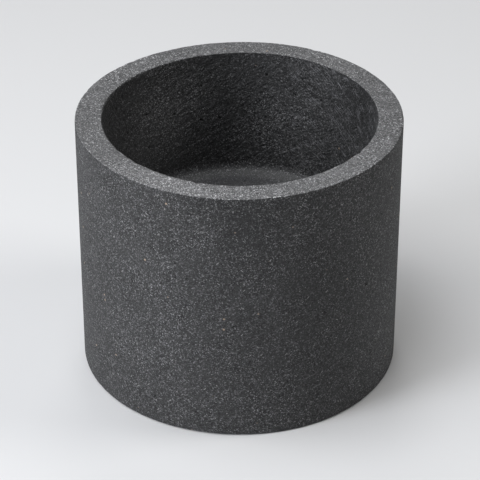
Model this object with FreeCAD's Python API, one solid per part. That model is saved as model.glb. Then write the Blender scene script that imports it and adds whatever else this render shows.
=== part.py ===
"""Foundry crucible: a thick-walled cylindrical pot, pressed and fired as one piece.

Millimetres, +Z up. The origin is the centre of the flat base, on the pot's axis.
"""

import FreeCAD, Part
import math
import os

Vector = FreeCAD.Vector

# Outside
outer_diameter = 150.0
height = 126.0

# Cavity. Its wall leans in towards the floor, so that the pressing tool could be drawn out.
rim_width = 12.0
cavity_depth = 62.0
cavity_draft_deg = 4.0
floor_corner_radius = 4.5

# Edges. The base edge is eased the most, and the two rim edges are nearly sharp.
base_edge_radius = 1.2
rim_outer_edge_radius = 0.5
rim_inner_edge_radius = 0.5

# What follows from them
outer_radius = outer_diameter / 2.0
mouth_radius = outer_radius - rim_width
floor_height = height - cavity_depth
floor_radius = mouth_radius - cavity_depth * math.tan(math.radians(cavity_draft_deg))

SHARP = 0.0


def rounded_corner(before, corner, after, radius):
    """Start, middle and end of the tangent arc between the two straight runs that meet at a corner."""
    if radius == SHARP:
        return corner, corner, corner
    back = (before - corner).normalize()
    ahead = (after - corner).normalize()
    half_angle = back.getAngle(ahead) / 2.0
    run = radius / math.tan(half_angle)
    inward = (back + ahead).normalize()
    middle = corner + inward * (radius / math.sin(half_angle) - radius)
    return corner + back * run, middle, corner + ahead * run


def rounded_outline(corners):
    """Closed wire through (point, radius) pairs: straight runs, joined by an arc of that radius at each point."""
    arcs = []
    for index, (point, radius) in enumerate(corners):
        before = corners[index - 1][0]
        after = corners[(index + 1) % len(corners)][0]
        arcs.append((rounded_corner(before, point, after, radius), radius))
    edges = []
    for index, ((start, middle, end), radius) in enumerate(arcs):
        if radius != SHARP:
            edges.append(Part.Arc(start, middle, end).toShape())
        next_start = arcs[(index + 1) % len(arcs)][0][0]
        edges.append(Part.LineSegment(end, next_start).toShape())
    return Part.Wire(edges)


def half_section():
    """Half of the pot's section, in the XZ plane: base, outer wall, rim, cavity wall and cavity floor."""
    corners = [
        (Vector(0, 0, 0), SHARP),
        (Vector(outer_radius, 0, 0), base_edge_radius),
        (Vector(outer_radius, 0, height), rim_outer_edge_radius),
        (Vector(mouth_radius, 0, height), rim_inner_edge_radius),
        (Vector(floor_radius, 0, floor_height), floor_corner_radius),
        (Vector(0, 0, floor_height), SHARP),
    ]
    return Part.Face(rounded_outline(corners))


def crucible_body():
    """The whole pot, turned from its half section."""
    return half_section().revolve(Vector(0, 0, 0), Vector(0, 0, 1), 360)


def cavity_volume():
    """What the pot holds when it is full to the rim, as a frustum with sharp corners."""
    squares = mouth_radius**2 + mouth_radius * floor_radius + floor_radius**2
    return math.pi * cavity_depth * squares / 3.0


os.makedirs("parts", exist_ok=True)
body = crucible_body()
body.exportStep("parts/crucible_body.step")

CUBIC_CM = 1000.0
print(f"crucible_body: valid {body.isValid()}, {body.Volume / CUBIC_CM:.1f} cm3 of material")
print(f"cavity: floor radius {floor_radius:.2f} mm, holds about {cavity_volume() / CUBIC_CM:.0f} cm3")
print(f"solid base under the cavity: {floor_height:.1f} mm")
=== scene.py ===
"""Looks of the foundry crucible: a worn, pitted skin of coarse dark refractory over the CAD pot.

Metres, in the CAD frame: +Z is the pot's axis and the base stands at z = 0.
"""

import math
import random
from types import SimpleNamespace

import bpy
import numpy as np
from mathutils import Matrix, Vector, noise
from mathutils.geometry import delaunay_2d_cdt

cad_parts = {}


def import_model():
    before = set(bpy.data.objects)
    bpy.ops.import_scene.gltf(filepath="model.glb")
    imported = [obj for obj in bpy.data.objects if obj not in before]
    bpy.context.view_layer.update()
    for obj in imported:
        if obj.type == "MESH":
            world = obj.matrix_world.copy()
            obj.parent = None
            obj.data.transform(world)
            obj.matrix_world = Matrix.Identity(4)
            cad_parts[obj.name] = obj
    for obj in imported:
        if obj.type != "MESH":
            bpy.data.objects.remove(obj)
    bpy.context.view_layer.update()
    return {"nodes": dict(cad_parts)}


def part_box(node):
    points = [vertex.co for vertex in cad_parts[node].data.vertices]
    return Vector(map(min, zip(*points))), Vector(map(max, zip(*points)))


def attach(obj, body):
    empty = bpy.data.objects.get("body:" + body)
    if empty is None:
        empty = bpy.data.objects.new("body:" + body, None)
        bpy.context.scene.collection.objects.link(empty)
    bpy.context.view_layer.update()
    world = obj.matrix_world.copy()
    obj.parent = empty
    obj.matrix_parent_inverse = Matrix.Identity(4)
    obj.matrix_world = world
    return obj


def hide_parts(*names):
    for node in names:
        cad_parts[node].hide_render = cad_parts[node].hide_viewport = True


NODE = "crucible_body"
MM = 0.001

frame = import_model()
cad_pot = frame["nodes"][NODE]
pot_low, pot_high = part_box(NODE)


# ---------------------------------------------------------------- the CAD pot's own sizes

def cavity_radius(z):
    """Radius of the cavity's wall at one height, measured outwards from the axis on the CAD solid."""
    return cad_pot.ray_cast(Vector((0, 0, z)), Vector((1, 0, 0)))[1].x


outer_radius = min(-pot_low.x, pot_high.x, -pot_low.y, pot_high.y)
rim_z = pot_high.z
floor_z = cad_pot.ray_cast(Vector((0, 0, 2 * rim_z)), Vector((0, 0, -1)))[1].z

# The edges are rounded as in the CAD pot.
base_edge = 1.2 * MM
rim_outer_edge = 0.5 * MM
rim_inner_edge = 0.5 * MM
floor_corner = 4.5 * MM

# The cavity's wall is a straight line between two measured heights.
wall_high_z = rim_z - 2 * MM
wall_low_z = floor_z + 8 * MM
wall_slope = (cavity_radius(wall_high_z) - cavity_radius(wall_low_z)) / (wall_high_z - wall_low_z)
draft = math.atan(wall_slope)


def wall_radius(z):
    """Radius of the cavity's straight wall, or of its line carried on, at a height."""
    return cavity_radius(wall_high_z) + (z - wall_high_z) * wall_slope


# ---------------------------------------------------------------- the section, as named stretches

class Line:
    """A straight stretch of the section from one (radius, height) to another, with one outward normal."""

    def __init__(self, start, end, normal):
        self.start, self.end, self.normal = np.array(start), np.array(end), np.array(normal)
        self.length = float(np.linalg.norm(self.end - self.start))

    def at(self, t):
        t = np.asarray(t, float)[..., None]
        return self.start + (self.end - self.start) * t, np.broadcast_to(self.normal, t.shape[:-1] + (2,))


class Arc:
    """A rounded edge of the section: its normal swings from one angle to another. A hollow one has side -1."""

    def __init__(self, centre, radius, first, last, side=1):
        self.centre, self.radius, self.side = np.array(centre), radius, side
        self.first, self.last = first, last
        self.length = radius * abs(last - first)

    def at(self, t):
        angle = self.first + (self.last - self.first) * np.asarray(t, float)
        normal = np.stack([np.cos(angle), np.sin(angle)], -1)
        return self.centre + normal * self.radius * self.side, normal


inner_edge_z = rim_z - rim_inner_edge
inner_edge_r = wall_radius(inner_edge_z) + rim_inner_edge / math.cos(draft)
corner_z = floor_z + floor_corner
corner_r = wall_radius(corner_z) - floor_corner / math.cos(draft)
cavity_normal = (-math.cos(draft), math.sin(draft))
cavity_angle = math.pi - draft

OUTER_WALL = Line((outer_radius, base_edge), (outer_radius, rim_z - rim_outer_edge), (1, 0))
RIM = Line((outer_radius - rim_outer_edge, rim_z), (inner_edge_r, rim_z), (0, 1))
BASE_EDGE = Arc((outer_radius - base_edge, base_edge), base_edge, -math.pi / 2, 0)
RIM_OUTER_EDGE = Arc((outer_radius - rim_outer_edge, rim_z - rim_outer_edge), rim_outer_edge, 0, math.pi / 2)
RIM_INNER_EDGE = Arc((inner_edge_r, inner_edge_z), rim_inner_edge, math.pi / 2, cavity_angle)
FLOOR_CORNER = Arc((corner_r, corner_z), floor_corner, cavity_angle, math.pi / 2, side=-1)
CAVITY_WALL = Line(RIM_INNER_EDGE.at(1)[0], FLOOR_CORNER.at(0)[0], cavity_normal)


# ---------------------------------------------------------------- pits, drawn at random but the same each run

SEAM = math.pi / 2          # where a strip of the skin is cut to lay it flat: the far side
PIT_RINGS = ((0.0, 1.0, 1), (0.5, 0.85, 6), (0.85, 0.35, 9), (1.0, 0.0, 10), (1.35, 0.0, 9))   # share of radius, of depth, points


class Pit:
    """An open pore with an uneven outline, at a place (u, v) on a surface laid flat."""

    def __init__(self, dice, u, v, radius):
        self.u, self.v, self.radius = u, v, radius
        self.depth = radius * dice.uniform(0.7, 1.2)
        self.lobes = [(k, dice.uniform(0, 2 * math.pi), dice.uniform(0.05, 0.5 / k)) for k in (2, 3)]
        self.reach = radius * PIT_RINGS[-1][0] * 1.4

    def points(self):
        """Places on the flat surface, with how far each lies under it and how much painted shade it gets."""
        found = []
        for share, depth_share, count in PIT_RINGS:
            for k in range(count):
                angle = 2 * math.pi * (k + 0.37 * count) / count
                swell = 1 + sum(size * math.cos(lobe * angle + turn) for lobe, turn, size in self.lobes)
                reach = self.radius * share * swell
                found.append((self.u + reach * math.cos(angle), self.v + reach * math.sin(angle),
                              self.depth * depth_share, depth_share))
        return np.array(found)


def scatter_pits(dice, count, sizes, place, inside):
    """Up to count pits that keep clear of each other. Small ones are the most common."""
    pits = []
    for _ in range(count):
        radius = sizes[0] + (sizes[1] - sizes[0]) * dice.random() ** 3
        u, v = place(dice)
        if inside(u, v, radius) and all(math.hypot(p.u - u, p.v - v) > 2 * (p.reach + radius) for p in pits):
            pits.append(Pit(dice, u, v, radius))
    return pits


def lattice(low, high, spacing, dice):
    """Triangular lattice over a box of the plane, each point nudged a little."""
    rows = np.arange(low[1], high[1], spacing * math.sqrt(3) / 2)
    points = []
    for index, v in enumerate(rows):
        us = np.arange(low[0] + spacing * 0.5 * (index % 2), high[0], spacing)
        points.append(np.column_stack([us, np.full_like(us, v)]))
    points = np.concatenate(points)
    nudge = np.array([[dice.uniform(-1, 1), dice.uniform(-1, 1)] for _ in points])
    return points + nudge * spacing * 0.18


def clear_of(points, pits, spacing):
    """The points that no pit's own points replace."""
    keep = np.ones(len(points), bool)
    for pit in pits:
        keep &= np.hypot(points[:, 0] - pit.u, points[:, 1] - pit.v) > pit.reach + spacing * 0.35
    return points[keep]


# ---------------------------------------------------------------- the skin: one closed mesh

class Skin:
    """Grows the mesh. Each point keeps its true place, its outward normal, how far a pit sinks it and what it is on."""

    def __init__(self):
        self.places, self.normals, self.sinks, self.marks, self.faces = [], [], [], [], []
        self.insides = []    # 1 in the cavity, less across the rim, 0 outside
        self.count = 0

    def add(self, section, normal, theta, sink=0.0, pit=0.0, rim=0.0, cavity=0.0):
        """Adds points by their place on the section and their angle, and returns their numbers."""
        theta = np.asarray(theta, float)
        around = np.column_stack([np.cos(theta), np.sin(theta)])
        section = np.broadcast_to(section, (len(theta), 2))
        normal = np.broadcast_to(normal, (len(theta), 2))
        self.places.append(np.column_stack([around * section[:, :1], section[:, 1]]))
        self.normals.append(np.column_stack([around * normal[:, :1], normal[:, 1]]))
        self.sinks.append(np.broadcast_to(sink, len(theta)))
        self.marks.append(np.column_stack([np.broadcast_to(mark, len(theta)) for mark in (pit, rim, cavity)]))
        across = np.clip((outer_radius - section[:, 0]) / (outer_radius - inner_edge_r), 0, 1)
        self.insides.append(np.maximum(across * rim, cavity))
        self.count += len(theta)
        return np.arange(self.count - len(theta), self.count)

    def ring(self, stretch, t, count, **marks):
        """One closed ring of points at a place on a stretch of the section."""
        section, normal = stretch.at(t)
        return self.add(section, normal, SEAM + 2 * math.pi * np.arange(count) / count, **marks)

    def round_edge(self, arc, first, last, rows, marks_at):
        """Joins two rings of equal count over a rounded edge, with more rings between them."""
        count = len(first)
        rings = [first] + [self.ring(arc, row / rows, count, **marks_at(row / rows)) for row in range(1, rows)] + [last]
        for low, high in zip(rings, rings[1:]):
            self.faces += [(low[k], low[(k + 1) % count], high[(k + 1) % count], high[k]) for k in range(count)]

    def triangulate(self, flat, numbers, chains):
        """Fills flat points with triangles. Chains are runs of points that stay joined as given."""
        edges = [pair for chain in chains for pair in zip(chain, chain[1:])]
        found = delaunay_2d_cdt([Vector(p) for p in flat], edges, [], 0, 1e-7)
        origin = [sources[0] for sources in found[3]]
        for face in found[2]:
            corners = [numbers[origin[k]] for k in face]
            if len(set(corners)) == 3:
                self.faces.append(tuple(corners))

    def strip(self, line, first, last, spacing, near, pits, dice, **marks):
        """Skins a straight stretch between two rings: it is laid flat, filled, and its cut sides joined again.
        Near is a list of (distance from either ring, spacing) for the finer rows beside the edges."""
        radius = (line.start[0] + line.end[0]) / 2
        around, up = 2 * math.pi * radius, line.length
        flat, numbers = [], []

        def put(points, known=None, sink=0.0, pit=0.0):
            points = np.asarray(points, float).reshape(-1, 2)
            if known is None:
                section, normal = line.at(points[:, 1] / up)
                known = self.add(section, normal, SEAM + points[:, 0] / radius, sink=sink, pit=pit, **marks)
            start = len(flat)
            flat.extend(points.tolist())
            numbers.extend(known)
            return list(range(start, len(flat))), known

        def closed_ring(ring, v):
            us = around * np.arange(len(ring) + 1) / len(ring)
            return put(np.column_stack([us, np.full_like(us, v)]), np.append(ring, ring[0]))[0]

        low, high = closed_ring(first, 0.0), closed_ring(last, up)
        rows = [v for distance, _ in near for v in (distance, up - distance)]
        inner = max([distance for distance, _ in near], default=0.0) + spacing
        seam_v = sorted(rows + list(np.arange(inner, up - inner + spacing / 2, spacing)))
        left, shared = put([(0.0, v) for v in seam_v])
        right, _ = put([(around, v) for v in seam_v], shared)
        for distance, step in near:
            count = int(around / step)
            us = around * (np.arange(1, count) + np.array([dice.uniform(-0.2, 0.2) for _ in range(1, count)])) / count
            for v in (distance, up - distance):
                put(clear_of(np.column_stack([us, np.full_like(us, v)]), pits, spacing))
        if up > 2 * inner:
            filling = lattice((spacing * 0.7, inner), (around - spacing * 0.6, up - inner + spacing * 0.3), spacing, dice)
            put(clear_of(filling, pits, spacing))
        for pit in pits:
            found = pit.points()
            put(found[:, :2], sink=found[:, 2], pit=found[:, 3])
        chains = [low, high, [low[0]] + left + [high[0]], [low[-1]] + right + [high[-1]]]
        self.triangulate(flat, numbers, chains)

    def disc(self, height, normal, ring, spacing, pits, dice, **marks):
        """Skins a flat disc inside a ring."""
        edge = np.concatenate(self.places)[ring][:, :2]
        radius = float(np.hypot(*edge[0]))
        filling = lattice((-radius, -radius), (radius, radius), spacing, dice)
        filling = filling[np.hypot(filling[:, 0], filling[:, 1]) < radius - spacing * 0.6]
        groups = [(clear_of(filling, pits, spacing), 0.0, 0.0)]
        groups += [(found[:, :2], found[:, 2], found[:, 3]) for found in (pit.points() for pit in pits)]
        flat, numbers = edge.tolist(), list(ring)
        for points, sink, pit in groups:
            section = np.column_stack([np.hypot(points[:, 0], points[:, 1]), np.full(len(points), height)])
            theta = np.arctan2(points[:, 1], points[:, 0])
            numbers.extend(self.add(section, (0.0, normal), theta, sink=sink, pit=pit, **marks))
            flat.extend(points.tolist())
        loop = list(range(len(ring))) + [0]
        start = len(self.faces)
        self.triangulate(flat, numbers, [loop])
        if normal < 0:
            self.faces[start:] = [face[::-1] for face in self.faces[start:]]


# ---------------------------------------------------------------- wear

# Each rounded edge by its sharp corner (radius, height), with how far wear reaches from it, how deep it bites,
# and how many chips it has lost.
EDGES = {
    "rim_outer": ((outer_radius, rim_z), 0.7 * MM, 0.20 * MM, 9),
    "rim_inner": ((wall_radius(rim_z), rim_z), 0.7 * MM, 0.26 * MM, 14),
    "base": ((outer_radius, 0.0), 1.2 * MM, 0.15 * MM, 3),
}

# The rim was rubbed flat by hand and stands a little low in two places: (angle, depth, half width of the dip).
RIM_DIPS = ((math.radians(120), 0.7 * MM, math.radians(60)), (math.radians(-90), 0.45 * MM, math.radians(60)))
DIP_FADES_OVER = 14 * MM    # how far below the rim a dip is still felt

# The cavity was pressed a little off the pot's axis.
OFF_CENTRE = np.array((0.45, 0.2)) * MM

# Low waves of the pressed surface: (size, depth)
WAVES = ((19 * MM, 0.05 * MM), (5.5 * MM, 0.04 * MM), (1.9 * MM, 0.035 * MM))


def waves_at(places, size, number):
    """Smooth random heights from about 0 to 1, with bumps of one size. Each number is a pattern of its own."""
    shift = Vector((7.31, 3.17, 5.73)) * number
    return np.array([0.5 + 0.5 * noise.noise(Vector(place) / size + shift) for place in places])


def turn_between(theta, centre):
    """Smallest turn from one angle to another."""
    return np.abs((theta - centre + math.pi) % (2 * math.pi) - math.pi)


def bite(skin_places, theta, radius, corner, reach, depth, chips, dice, number):
    """How far one edge is worn back: a fine nibble all round, and a scatter of chips."""
    away = np.hypot(radius - corner[0], skin_places[:, 2] - corner[1])
    near = np.where(away < 5 * reach)[0]
    spots, angles, gap = skin_places[near], theta[near], away[near]
    nibble = waves_at(spots, 1.6 * MM, number) * waves_at(spots, 7 * MM, number + 1) * 2
    worn = depth * nibble * np.exp(-(gap / reach) ** 2)
    for _ in range(chips):
        centre, width = dice.uniform(-math.pi, math.pi), dice.uniform(0.5, 1.3) * MM
        deep = width * dice.uniform(0.2, 0.4)
        along = turn_between(angles, centre) * corner[0]
        worn += deep * np.exp(-(along / width) ** 2 - (gap / (0.9 * width)) ** 2)
    sunk = np.zeros(len(skin_places))
    sunk[near] = worn
    return sunk


def worn_places(skin, dice):
    """The skin's points after waves, bitten edges, pits and the rim's dips. Nothing stands outside the true form."""
    places, normals = np.concatenate(skin.places), np.concatenate(skin.normals)
    theta, radius = np.arctan2(places[:, 1], places[:, 0]), np.hypot(places[:, 0], places[:, 1])
    sunk = np.concatenate(skin.sinks).copy()
    for number, (size, depth) in enumerate(WAVES):
        sunk += depth * waves_at(places, size, number)
    for number, (corner, reach, depth, chips) in enumerate(EDGES.values()):
        sunk += bite(places, theta, radius, corner, reach, depth, chips, dice, 10 + 2 * number)
    worn = places - normals * sunk[:, None]
    worn[:, :2] += OFF_CENTRE * np.concatenate(skin.insides)[:, None]
    fade = np.clip((places[:, 2] - rim_z) / DIP_FADES_OVER + 1, 0, 1) ** 2
    for centre, depth, half_width in RIM_DIPS:
        share = np.clip(turn_between(theta, centre) / half_width, 0, 1)
        worn[:, 2] -= depth * fade * (0.5 + 0.5 * np.cos(math.pi * share))
    return worn


# ---------------------------------------------------------------- the pot's visible body

def between(line, margin):
    """Places on a straight stretch laid flat, kept off its ends and off the cut at the far side."""
    around = math.pi * (line.start[0] + line.end[0])

    def place(dice):
        return dice.uniform(0, around), dice.uniform(0, line.length)

    def inside(u, v, radius):
        room = margin + 2 * radius
        return room < u < around - room and room < v < line.length - room

    return place, inside


def within(radius_limit):
    """Places in a flat disc."""
    def place(dice):
        reach, angle = radius_limit * math.sqrt(dice.random()), dice.uniform(0, 2 * math.pi)
        return reach * math.cos(angle), reach * math.sin(angle)

    def inside(u, v, radius):
        return math.hypot(u, v) < radius_limit - 2 * radius

    return place, inside


def build_body():
    """The whole closed skin, from the middle of the base to the middle of the cavity's floor."""
    dice, skin = random.Random(41), Skin()
    near_edge = ((0.7 * MM, 0.85 * MM), (1.5 * MM, 1.1 * MM), (2.5 * MM, 1.4 * MM))
    near_corner = ((1.4 * MM, 1.3 * MM),)

    wall_low, wall_high = skin.ring(OUTER_WALL, 0, 440), skin.ring(OUTER_WALL, 1, 640)
    base_ring = skin.ring(BASE_EDGE, 0, 440)
    rim_out, rim_in = skin.ring(RIM, 0, 640, rim=1), skin.ring(RIM, 1, 540, rim=1)
    cavity_top, cavity_low = skin.ring(CAVITY_WALL, 0, 540, cavity=1), skin.ring(CAVITY_WALL, 1, 320, cavity=1)
    floor_ring = skin.ring(FLOOR_CORNER, 1, 320, cavity=1)

    skin.round_edge(BASE_EDGE, base_ring, wall_low, 4, lambda t: {})
    skin.round_edge(RIM_OUTER_EDGE, wall_high, rim_out, 4, lambda t: {"rim": t})
    skin.round_edge(RIM_INNER_EDGE, rim_in, cavity_top, 4, lambda t: {"rim": 1 - t, "cavity": t})
    skin.round_edge(FLOOR_CORNER, cavity_low, floor_ring, 7, lambda t: {"cavity": 1})

    def pits(count, low, high, place, inside):
        return scatter_pits(dice, count, (low * MM, high * MM), place, inside)

    skin.strip(OUTER_WALL, wall_low, wall_high, 1.75 * MM, near_edge,
               pits(220, 0.25, 0.75, *between(OUTER_WALL, 3 * MM)), dice)
    skin.strip(RIM, rim_out, rim_in, 1.2 * MM, near_edge[:2],
               pits(70, 0.22, 0.42, *between(RIM, 1.9 * MM)), dice, rim=1)
    skin.strip(CAVITY_WALL, cavity_top, cavity_low, 1.6 * MM, near_edge,
               pits(130, 0.38, 0.9, *between(CAVITY_WALL, 3 * MM)), dice, cavity=1)
    skin.disc(floor_z, 1.0, floor_ring, 1.8 * MM, pits(70, 0.35, 0.9, *within(corner_r - 3 * MM)), dice, cavity=1)
    skin.disc(0.0, -1.0, base_ring, 2.6 * MM, pits(60, 0.35, 0.8, *within(BASE_EDGE.centre[0] - 3 * MM)), dice)

    mesh = bpy.data.meshes.new("crucible_refractory")
    mesh.from_pydata(worn_places(skin, dice).tolist(), [], skin.faces)
    marks = np.concatenate(skin.marks)
    for column, name in enumerate(("pit", "rim", "cavity")):
        attribute = mesh.attributes.new(name, "FLOAT", "POINT")
        attribute.data.foreach_set("value", marks[:, column].astype(np.float32))
    mesh.polygons.foreach_set("use_smooth", [True] * len(mesh.polygons))
    mesh.update()
    body = bpy.data.objects.new("crucible_refractory", mesh)
    bpy.context.scene.collection.objects.link(body)
    return body


body = build_body()


# ---------------------------------------------------------------- material

class Graph:
    """Shader nodes of one material, joined by short calls. A number or a socket can go into any input."""

    def __init__(self, material):
        material.use_nodes = True
        self.tree = material.node_tree
        self.tree.nodes.clear()

    def node(self, kind, settings=(), **inputs):
        made = self.tree.nodes.new(kind)
        for name, value in dict(settings).items():
            setattr(made, name, value)
        for name, value in inputs.items():
            self.feed(made.inputs[name.replace("_", " ")], value)
        return made

    def feed(self, socket, value):
        if isinstance(value, bpy.types.NodeSocket):
            self.tree.links.new(value, socket)
        else:
            socket.default_value = value

    def math(self, operation, first, second=0.0, third=0.0):
        made = self.node("ShaderNodeMath", {"operation": operation})
        for socket, value in zip(made.inputs, (first, second, third)):
            self.feed(socket, value)
        return made.outputs[0]

    def stretch(self, value, low, high, to_low=0.0, to_high=1.0, smooth=False):
        """Maps low..high to to_low..to_high and holds the ends."""
        kind = {"interpolation_type": "SMOOTHSTEP" if smooth else "LINEAR"}
        made = self.node("ShaderNodeMapRange", kind)
        for name, number in (("Value", value), ("From Min", low), ("From Max", high), ("To Min", to_low), ("To Max", to_high)):
            self.feed(made.inputs[name], number)
        return made.outputs["Result"]

    def mix(self, share, first, second):
        """Between two colours."""
        made = self.node("ShaderNodeMix", {"data_type": "RGBA"})
        for index, value in ((0, share), (6, first), (7, second)):
            self.feed(made.inputs[index], value)
        return made.outputs[2]

    def product(self, first, *others):
        for other in others:
            first = self.math("MULTIPLY", first, other)
        return first

    def rest(self, share):
        """What is left of a share of 1."""
        return self.math("SUBTRACT", 1.0, share)

    def scaled(self, vector, by):
        made = self.node("ShaderNodeVectorMath", {"operation": "MULTIPLY"})
        self.feed(made.inputs[0], vector)
        self.feed(made.inputs[1], by if isinstance(by, tuple) else (by, by, by))
        return made.outputs[0]

    def noise(self, vector, size, detail=2.0, roughness=0.5):
        """Cloudy pattern that mostly fills 0 to 1, with features of one size in millimetres."""
        made = self.node("ShaderNodeTexNoise", Vector=vector, Scale=1 / size, Detail=detail, Roughness=roughness)
        return self.stretch(made.outputs["Fac"], 0.3, 0.7)

    def swept(self, vector, turn, length, width):
        """Coordinates for patterns drawn out along one direction of the unrolled surface, turned from the level."""
        turned = self.node("ShaderNodeVectorRotate", {"rotation_type": "Z_AXIS"}, Vector=vector, Angle=math.radians(-turn))
        return self.scaled(turned.outputs[0], (1 / length, 1 / width, 1 / width))

    def cells(self, vector, size, drift=0.0):
        """Distance to the middle of the nearest random cell, and a random number for that cell."""
        moved = self.node("ShaderNodeVectorMath", {"operation": "ADD"})
        self.feed(moved.inputs[0], vector)
        self.feed(moved.inputs[1], (drift, drift * 0.7, drift * 1.3))
        made = self.node("ShaderNodeTexVoronoi", Vector=moved.outputs[0], Scale=1 / size)
        chance = self.node("ShaderNodeSeparateColor", Color=made.outputs["Color"])
        return made.outputs["Distance"], chance.outputs[0]

    def spots(self, vector, size, share, radius, drift=0.0):
        """Round spots in a random share of the cells: 1 inside their radius, which is told in cells."""
        distance, chance = self.cells(vector, size, drift)
        return self.math("MULTIPLY", self.stretch(distance, radius * 1.25, radius * 0.8),
                         self.math("LESS_THAN", chance, share))

    def swing(self, pattern, by):
        """A 0 to 1 pattern as a factor that swings either side of 1."""
        return self.stretch(pattern, 0.0, 1.0, 1.0 - by, 1.0 + by)


# Broad patches, paler or darker: (direction in degrees, height, half width, half height in mm, change)
# Painted light and shade on the outer wall: paler at the front-left and low on the right, darker under the rim's front
# and at the front-right.
WALL_PAINTED_LIGHT_AND_SHADE = ((-113, 60, 36, 75, 0.20), (-90, 118, 26, 30, -0.28), (-61, 55, 38, 80, -0.20), (-25, 30, 24, 50, 0.20))
# Painted light and shadow in the cavity: pools of light on its back wall, and painted shadow under the rim at the back
# and on the right.
CAVITY_PAINTED_LIGHT_AND_SHADOW = ((124, 100, 34, 32, 1.1), (72, 90, 38, 30, 0.90), (101, 127, 26, 16, -0.45), (22, 118, 32, 30, -0.62))
RIM_PATCHES = ((-118, 126, 32, 32, 0.18), (103, 126, 13, 13, 0.15), (50, 126, 24, 24, 0.08))


def patched(g, at, table, radius, where):
    """Factor that is 1 away from the patches of a table, and wherever a mask is 0."""
    total = 0.0
    for azimuth, height, half_width, half_height, change in table:
        turn = math.radians(azimuth)
        away = g.node("ShaderNodeVectorMath", {"operation": "SUBTRACT"})
        g.feed(away.inputs[0], at.mm)
        g.feed(away.inputs[1], (radius / MM * math.cos(turn), radius / MM * math.sin(turn), height))
        across = (1 / half_width, 1 / half_width, 1 / half_height)
        distance = g.node("ShaderNodeVectorMath", {"operation": "LENGTH"}, Vector=g.scaled(away.outputs[0], across))
        total = g.math("ADD", total, g.stretch(distance.outputs["Value"], 1.0, 0.0, 0.0, change, smooth=True))
    return g.math("MULTIPLY_ADD", total, where, 1.0)


def zones(g):
    """Places and masks of the pot: millimetres, the unrolled surface, how rubbed each place is, and the cavity's floor
    with its ring of painted light.
    """
    at = SimpleNamespace()
    at.mm = g.scaled(g.node("ShaderNodeTexCoord").outputs["Object"], 1000.0)
    at.x, at.y, at.z = g.node("ShaderNodeSeparateXYZ", Vector=at.mm).outputs
    at.pit, rim, at.cavity = (g.node("ShaderNodeAttribute", {"attribute_name": name}).outputs["Fac"]
                              for name in ("pit", "rim", "cavity"))
    from_axis = g.node("ShaderNodeVectorMath", {"operation": "LENGTH"},
                       Vector=g.scaled(at.mm, (1.0, 1.0, 0.0))).outputs["Value"]

    # Unrolled surface: along it to the right as it is seen, up, and out. It is cut at the far side, or near in the cavity.
    side = g.math("MULTIPLY_ADD", g.math("GREATER_THAN", at.cavity, 0.5), 2.0, -1.0)
    angle = g.math("ARCTAN2", at.x, g.math("MULTIPLY", at.y, side))
    at.unrolled = g.node("ShaderNodeCombineXYZ", X=g.math("MULTIPLY", angle, 68.0), Y=at.z, Z=from_axis).outputs[0]

    # The rim's rubbed face ends raggedly at its rounded edges. Its front is paler and carries the painted glints.
    ragged = g.math("ADD", rim, g.stretch(g.noise(at.mm, 0.9, 2.0, 0.6), 0.0, 1.0, -0.15, 0.15))
    at.rubbed = g.stretch(ragged, 0.25, 0.6)
    at.front = g.math("MULTIPLY", g.stretch(at.y, -15.0, -66.0), at.rubbed)

    # The cavity's floor is paler, and a ring beside its corner is paler still: painted light, where the floor's edge
    # catches the lamps.
    over_floor = g.math("SUBTRACT", at.z, floor_z / MM)
    at.floor = g.math("MULTIPLY", g.stretch(over_floor, 1.8, 0.2), at.cavity)
    at.band = g.product(at.floor, g.stretch(from_axis, 49.5, 52.5))
    at.inner_wall = g.product(at.cavity, g.rest(at.floor))
    at.outside = g.product(g.rest(at.cavity), g.rest(at.rubbed))
    return at


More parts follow.
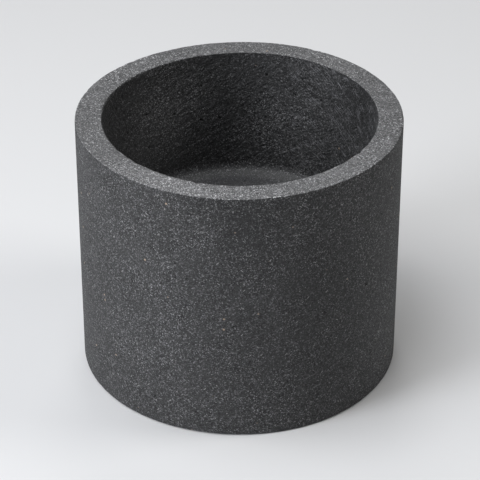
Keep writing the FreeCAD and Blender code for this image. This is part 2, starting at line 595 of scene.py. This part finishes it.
def grain_shade(g, at):
    """Brightness of the fired mass, about 1: broad clouds, fine grain and drag marks where it was pressed, with patches
    of painted light and shade and painted shade in pits and pores.
    """
    cloud = g.swing(g.noise(at.mm, 26.0, 3.0, 0.55), 0.13)
    mottle = g.swing(g.noise(at.mm, 5.0, 3.0, 0.6), 0.06)
    bright = g.stretch(g.math("POWER", g.cells(at.mm, 0.44)[1], 6.0), 0.0, 1.0, 0.58, 4.1)
    dark = g.stretch(g.math("POWER", g.cells(at.mm, 0.52, 17.0)[1], 4.0), 0.0, 1.0, 1.16, 0.12)
    combed = g.swing(g.noise(g.swept(at.unrolled, 50, 1.4, 0.4), 1.0, 0.0), 0.18)
    busy = g.stretch(g.noise(at.mm, 13.0, 2.0, 0.5), 0.0, 1.0, 0.75, 1.25)
    left = g.noise(g.swept(at.unrolled, 33, 4.0, 0.8), 1.0, 1.0)
    right = g.noise(g.swept(at.unrolled, -12, 6.0, 0.6), 1.0, 1.0)
    to_right = g.stretch(at.x, 0.0, 22.0)
    drag = g.math("ADD", g.product(left, g.rest(to_right)), g.product(right, to_right))
    drag = g.math("MULTIPLY_ADD", g.math("SUBTRACT", g.swing(drag, 0.25), 1.0), at.inner_wall, 1.0)
    filed = g.swing(g.noise(g.swept(at.unrolled, 0, 11.0, 0.9), 1.0, 2.0), 0.12)
    filed = g.product(filed, g.swing(g.noise(at.mm, 7.0, 3.0, 0.6), 0.10))
    filed = g.math("MULTIPLY_ADD", g.math("SUBTRACT", filed, 1.0), at.rubbed, 1.0)
    # Painted shade: dark specks for pores, and darkening in the pits' hollows, deepest at their bottoms.
    painted_pore_shade = g.math("MAXIMUM", g.spots(at.mm, 1.6, 0.14, 0.20, 83.0), g.spots(at.mm, 0.7, 0.12, 0.32, 91.0))
    sunk = g.math("MULTIPLY", g.math("MULTIPLY_ADD", painted_pore_shade, -0.72, 1.0), g.stretch(at.pit, 0.0, 1.0, 1.0, 0.25))
    dust = g.product(g.math("MULTIPLY_ADD", at.floor, -0.5, 1.0), g.math("MULTIPLY_ADD", at.rubbed, -0.25, 1.0))
    texture = g.product(g.math("SUBTRACT", g.product(mottle, bright, dark, combed, drag), 1.0), busy)
    # Broad factors: clouds, the rim's filing, patches of painted light and shade on the wall and in the cavity, and
    # paler patches on the rim.
    broad = g.product(cloud, filed,
                      patched(g, at, WALL_PAINTED_LIGHT_AND_SHADE, outer_radius, at.outside),
                      patched(g, at, CAVITY_PAINTED_LIGHT_AND_SHADOW, inner_edge_r, at.inner_wall),
                      patched(g, at, RIM_PATCHES, (outer_radius + inner_edge_r) / 2, at.rubbed))
    return g.product(broad, g.math("MULTIPLY_ADD", texture, dust, 1.0), sunk)


def specks_over(g, at, skin):
    """Pale flecks and slivers in loose clusters, painted glints on the rim's front, bright scratches low in the
    cavity's right side, and tan specks.
    """
    clusters = g.stretch(g.noise(at.mm, 9.0, 3.0, 0.55), 0.45, 0.95)
    share = g.product(g.math("MULTIPLY_ADD", clusters, 0.07, 0.008), g.rest(at.floor), g.math("MULTIPLY_ADD", at.cavity, -0.45, 1.0))
    flecks = g.spots(at.mm, 0.62, share, 0.34, 5.0)
    risen = g.spots(g.swept(at.unrolled, 48, 3.0, 0.7), 1.0, share, 0.24, 31.0)
    fallen = g.spots(g.swept(at.unrolled, -38, 3.0, 0.7), 1.0, share, 0.24, 61.0)
    pale = g.math("MAXIMUM", flecks, g.math("MAXIMUM", risen, fallen))
    skin = g.mix(g.product(pale, 0.85), skin, g.mix(at.rubbed, (0.34, 0.34, 0.335, 1), (0.46, 0.46, 0.455, 1)))

    # Painted glints: bright spots on the front of the rim's face.
    painted_glints = g.spots(at.mm, 0.8, 0.22, 0.30, 9.0)
    skin = g.mix(g.product(painted_glints, at.front, 0.5), skin, (0.75, 0.75, 0.76, 1))

    patch = g.product(g.stretch(at.x, 10.0, 34.0), g.stretch(at.y, -20.0, 5.0), at.inner_wall)
    lines = g.stretch(g.noise(g.swept(at.unrolled, -30, 7.0, 0.34), 1.0, 0.0), 0.80, 0.95)
    broken = g.stretch(g.noise(g.swept(at.unrolled, -30, 6.0, 3.0), 1.0, 1.0), 0.40, 0.70)
    scores = g.product(lines, broken, patch)
    skin = g.mix(g.product(scores, 0.8), skin, (0.22, 0.22, 0.23, 1))

    tan = g.spots(at.mm, 5.0, g.math("MULTIPLY_ADD", at.cavity, -0.07, 0.10), 0.10, 57.0)
    return g.mix(g.product(tan, 0.9), skin, (0.40, 0.31, 0.23, 1)), scores


def refractory():
    """Pressed and fired clay-graphite: a dark grainy skin, pale where the rim was rubbed, scored inside."""
    material = bpy.data.materials.new("clay_graphite")
    g = Graph(material)
    at = zones(g)

    skin = g.mix(at.rubbed, (0.048, 0.048, 0.049, 1), (0.140, 0.140, 0.142, 1))
    skin = g.mix(g.math("MULTIPLY", at.cavity, g.rest(at.rubbed)), skin, (0.043, 0.043, 0.044, 1))
    skin = g.mix(at.floor, skin, (0.074, 0.074, 0.076, 1))
    # Painted light: the paler ring beside the floor's corner.
    skin = g.mix(at.band, skin, (0.108, 0.108, 0.108, 1))
    shade = g.math("MULTIPLY", grain_shade(g, at), g.math("MULTIPLY_ADD", at.front, 0.2, 1.0))
    skin = g.node("ShaderNodeVectorMath", {"operation": "SCALE"}, Vector=skin, Scale=shade).outputs[0]
    skin, scores = specks_over(g, at, skin)

    # Relief in millimetres
    height = g.math("MULTIPLY", g.noise(at.mm, 0.5, 1.0, 0.5), 0.18)
    height = g.math("MULTIPLY_ADD", g.noise(at.mm, 1.4, 2.0, 0.6), 0.10, height)
    height = g.math("MULTIPLY_ADD", g.noise(g.swept(at.unrolled, 30, 5.0, 2.0), 1.0, 2.0, 0.6), g.math("MULTIPLY_ADD", at.inner_wall, 0.28, 0.10), height)
    height = g.math("MULTIPLY_ADD", scores, -0.05, height)
    bump = g.node("ShaderNodeBump", Height=height, Distance=MM, Strength=1.0)

    surface = g.node("ShaderNodeBsdfPrincipled", Base_Color=skin, Normal=bump.outputs[0],
                     Roughness=g.stretch(at.rubbed, 0.0, 1.0, 0.75, 0.65))
    g.node("ShaderNodeOutputMaterial", Surface=surface.outputs[0])
    return material


body.data.materials.append(refractory())
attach(body, "root")
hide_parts(NODE)


# ---------------------------------------------------------------- floor, camera and light

def plain(name, colour, roughness):
    material = bpy.data.materials.new(name)
    g = Graph(material)
    surface = g.node("ShaderNodeBsdfPrincipled", Base_Color=colour, Roughness=roughness)
    surface.inputs["Specular IOR Level"].default_value = 0.2
    g.node("ShaderNodeOutputMaterial", Surface=surface.outputs[0])
    return material


def floor():
    half = 4.0
    mesh = bpy.data.meshes.new("studio_floor")
    mesh.from_pydata([(-half, -half, 0), (half, -half, 0), (half, half, 0), (-half, half, 0)], [], [(0, 1, 2, 3)])
    mesh.materials.append(plain("pale_floor", (0.8, 0.8, 0.8, 1), 0.9))
    made = bpy.data.objects.new("studio_floor", mesh)
    bpy.context.scene.collection.objects.link(made)


def camera():
    """A long lens about a metre away, looking down on the rim."""
    away, elevation, tilt, turn = 0.9905, math.radians(28.51), math.radians(31.82), math.radians(0.024)
    data = bpy.data.cameras.new("camera")
    data.sensor_width, data.lens, data.clip_end = 36.0, 162.7, 30.0
    made = bpy.data.objects.new("camera", data)
    made.location = (0, -away * math.cos(elevation), rim_z + away * math.sin(elevation))
    made.rotation_euler = (math.pi / 2 - tilt, 0, -turn)
    bpy.context.scene.collection.objects.link(made)
    bpy.context.scene.camera = made


def softbox(name, azimuth, elevation, distance, size, power, colour=(1, 1, 1)):
    """A round soft lamp that faces the pot."""
    data = bpy.data.lights.new(name, "AREA")
    data.shape, data.size, data.energy, data.color = "DISK", size, power, colour
    made = bpy.data.objects.new(name, data)
    turn, rise = math.radians(azimuth), math.radians(elevation)
    towards = Vector((math.cos(rise) * math.cos(turn), math.cos(rise) * math.sin(turn), math.sin(rise)))
    made.location = towards * distance + Vector((0, 0, rim_z / 2))
    made.rotation_euler = towards.to_track_quat("Z", "Y").to_euler()
    bpy.context.scene.collection.objects.link(made)


def world(strength):
    made = bpy.data.worlds.new("studio_air")
    made.use_nodes = True
    background = made.node_tree.nodes["Background"]
    background.inputs["Color"].default_value = (1, 1, 1, 1)
    background.inputs["Strength"].default_value = strength
    bpy.context.scene.world = made


floor()
camera()
COOL, PLAIN = (0.966, 0.991, 1.043), (1.0, 1.0, 1.0)
for name, azimuth, elevation, power, colour in (
    ("key_low", 210, 12, 8.1, COOL),
    ("key_high", 210, 38, 2.8, COOL),
    ("left_high", 180, 52, 2.6, PLAIN),
    ("right", 0, 38, 4.3, (1.008, 1.002, 0.990)),
    ("overhead", 180, 82, 3.9, COOL),
    ("front_high", 240, 66, 2.5, PLAIN),
    ("back", 90, 38, 2.3, PLAIN),
):
    softbox(name, azimuth, elevation, 1.2, 0.5, power, colour)
world(0.0)
bpy.context.scene.view_settings.view_transform = "Standard"
